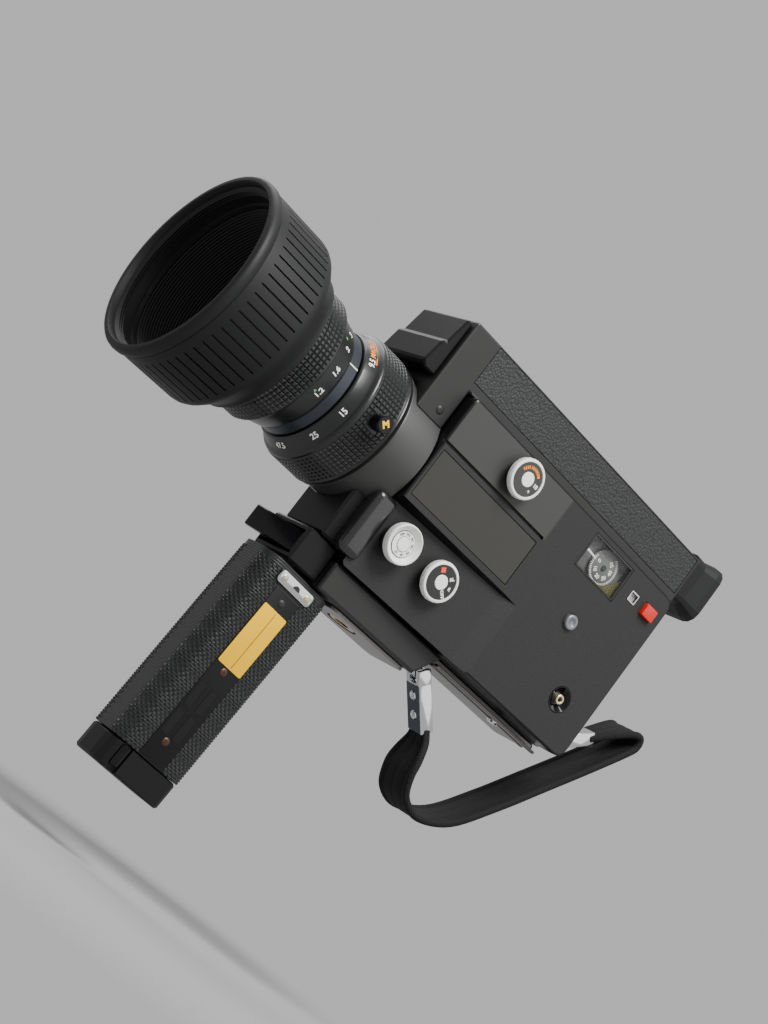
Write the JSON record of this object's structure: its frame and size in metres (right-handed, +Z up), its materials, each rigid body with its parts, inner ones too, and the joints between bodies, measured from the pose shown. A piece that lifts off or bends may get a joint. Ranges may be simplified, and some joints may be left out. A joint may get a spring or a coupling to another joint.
{
  "type": "super 8 cine camera",
  "caption": "Pistol-grip cine camera with a zoom lens in a rubber hood, side dials, a frame counter, a long finder housing, a film door and a wrist strap.",
  "frame": {"origin": "on the flat underside of the base plate, behind the tripod socket, in the middle of the base's width", "axes": "+X runs back along the lens axis towards the eyepiece, +Y towards the film door on the user's right, +Z up. The lens axis is 58.4 mm above the origin and 4.5 mm to +Y of it."},
  "size_m": [0.2842, 0.078, 0.2131],
  "materials": {
    "satin_black": "satin",
    "textured_black": "fine texture",
    "gloss_black": "gloss",
    "lens_black": "black anodised",
    "rubber": "matte",
    "leatherette": "pebbled",
    "chrome": "polished",
    "steel": "brushed",
    "brass": "plain",
    "dial_white": "gloss",
    "cast_alloy": "cast",
    "glass": "polished",
    "nameplate": "satin",
    "label_yellow": "printed",
    "button_red": "satin",
    "button_grey": "satin",
    "circuit_green": "plain",
    "white_gear": "plain",
    "webbing": "woven"
  },
  "bodies": {
    "camera": {"side_cover": "textured_black", "film_casting": "cast_alloy", "finder_housing": "satin_black", "left_leather_panel": "leatherette", "right_leather_panel": "leatherette", "front_nameplate": "satin_black", "lower_front_housing": "satin_black", "trigger_block": "satin_black", "base_housing": "satin_black", "base_plate": "steel", "tripod_bush": "brass", "bottom_cover": "steel", "door_hinge": "steel", "index_barrel": "lens_black", "lens_barrel": "lens_black", "relay_tube": "cast_alloy", "drive_motor": "steel", "gate_plate": "steel", "circuit_board": "circuit_green", "finder_tube": "cast_alloy", "finder_front_lens": "glass", "eyepiece_tube": "satin_black", "eyepiece_lens": "glass", "eyecup": "rubber", "counter_window": "glass", "lamp_window": "glass", "remote_jack": "gloss_black", "nameplate": "nameplate", "grip_shell": "satin_black", "grip_label": "label_yellow", "grip_clip": "chrome", "battery_contacts": "brass", "front_strap_lug": "chrome", "rear_strap_lug": "chrome", "wrist_strap": "webbing"},
    "focus_group": {"lens_hood": "rubber", "focus_ring": "lens_black", "front_cell": "lens_black", "front_lens": "glass"},
    "zoom_group": {"zoom_ring": "lens_black"},
    "macro_release": {"macro_knob": "gloss_black"},
    "variator": {"variator_cell": "cast_alloy", "variator_lens": "glass"},
    "speed_control": {"speed_dial": "dial_white"},
    "film_speed_control": {"film_speed_dial": "dial_white"},
    "run_control": {"run_dial": "dial_white"},
    "frame_counter": {"counter_disc": "satin_black"},
    "test_button": {"red_button": "button_red"},
    "reset_button": {"round_button": "button_grey"},
    "trigger_lever": {"trigger": "gloss_black"},
    "door": {"film_door": "textured_black", "door_window": "glass"},
    "door_catch": {"door_latch": "gloss_black"},
    "grip_lid": {"battery_cap": "satin_black"},
    "lid_latch": {"cap_latch": "gloss_black"},
    "shutter_rotor": {"shutter": "white_gear"},
    "motor_rotor": {"motor_pinion": "brass"},
    "takeup": {"takeup_spindle": "white_gear"},
    "front_clamp": {"front_strap_bracket": "chrome"},
    "rear_clamp": {"rear_strap_bracket": "chrome"}
  },
  "joints": [
    {"name": "focus_turn", "type": "hinge", "parent": "camera", "child": "focus_group", "pos_m": [-0.106, 0.0045, 0.0584], "axis": [1, 0, 0], "range_deg": [-40, 140]},
    {"name": "zoom_turn", "type": "hinge", "parent": "camera", "child": "zoom_group", "pos_m": [-0.074, 0.0045, 0.0584], "axis": [1, 0, 0], "range_deg": [-105, 40]},
    {"name": "macro_pull", "type": "slide", "parent": "zoom_group", "child": "macro_release", "axis": [0, -1, 0], "range_m": [0, 0.0025], "stiffness_N_per_m": 300},
    {"name": "variator_slide", "type": "slide", "parent": "camera", "child": "variator", "axis": [1, 0, 0], "range_m": [-0.0045, 0.0115]},
    {"name": "speed_turn", "type": "hinge", "parent": "camera", "child": "speed_control", "pos_m": [-0.0082, -0.0255, 0.0821], "axis": [0, 1, 0], "range_deg": [-90, 90]},
    {"name": "film_speed_turn", "type": "hinge", "parent": "camera", "child": "film_speed_control", "pos_m": [-0.032, -0.0235, 0.0331], "axis": [0, 1, 0], "range_deg": [-120, 120]},
    {"name": "run_turn", "type": "hinge", "parent": "camera", "child": "run_control", "pos_m": [-0.009, -0.0235, 0.0324], "axis": [0, 1, 0], "range_deg": [-60, 60]},
    {"name": "counter_turn", "type": "hinge", "parent": "camera", "child": "frame_counter", "pos_m": [0.0518, -0.0205, 0.0814], "axis": [0, 1, 0], "range_deg": [0, 330]},
    {"name": "test_press", "type": "slide", "parent": "camera", "child": "test_button", "axis": [0, 1, 0], "range_m": [0, 0.0012], "stiffness_N_per_m": 400},
    {"name": "reset_press", "type": "slide", "parent": "camera", "child": "reset_button", "axis": [0, 1, 0], "range_m": [0, 0.001], "stiffness_N_per_m": 400},
    {"name": "trigger_pull", "type": "hinge", "parent": "camera", "child": "trigger_lever", "pos_m": [-0.0576, -0.0087, 0.0101], "axis": [0, 0, -1], "range_deg": [0, 12], "stiffness_Nm_per_rad": 0.4},
    {"name": "door_open", "type": "hinge", "parent": "camera", "child": "door", "pos_m": [0.0912, 0.0239, 0.0584], "axis": [0, 0, -1], "range_deg": [0, 100]},
    {"name": "catch_turn", "type": "hinge", "parent": "door", "child": "door_catch", "pos_m": [-0.028, 0.0255, 0.0364], "axis": [0, 1, 0], "range_deg": [0, 90]},
    {"name": "lid_open", "type": "hinge", "parent": "camera", "child": "grip_lid", "pos_m": [-0.03658, -0.0005, -0.08387], "axis": [0, -1, 0], "range_deg": [0, 95]},
    {"name": "latch_slide", "type": "slide", "parent": "grip_lid", "child": "lid_latch", "axis": [-0.0471, 0, -0.9989], "range_m": [0, 0.0018]},
    {"name": "shutter_turn", "type": "hinge", "parent": "camera", "child": "shutter_rotor", "pos_m": [-0.0115, 0.0067, 0.0494], "axis": [1, 0, 0], "continuous": true},
    {"name": "motor_turn", "type": "hinge", "parent": "camera", "child": "motor_rotor", "pos_m": [-0.0115, 0.0067, 0.0319], "axis": [1, 0, 0], "continuous": true},
    {"name": "takeup_turn", "type": "hinge", "parent": "camera", "child": "takeup", "pos_m": [0.034, -0.0055, 0.0534], "axis": [0, 1, 0], "continuous": true},
    {"name": "front_clamp_swing", "type": "hinge", "parent": "camera", "child": "front_clamp", "pos_m": [0.0208, -0.0075, 0.0044], "axis": [0, 1, 0], "range_deg": [-6, 6]},
    {"name": "rear_clamp_swing", "type": "hinge", "parent": "camera", "child": "rear_clamp", "pos_m": [0.094, -0.0075, 0.0219], "axis": [0, 1, 0], "range_deg": [-6, 6]}
  ],
  "couplings": [
    {"joint": "variator_slide", "follows": "zoom_turn", "m_per_rad": -0.006},
    {"joint": "motor_turn", "follows": "shutter_turn", "ratio": -2.4286}
  ]
}
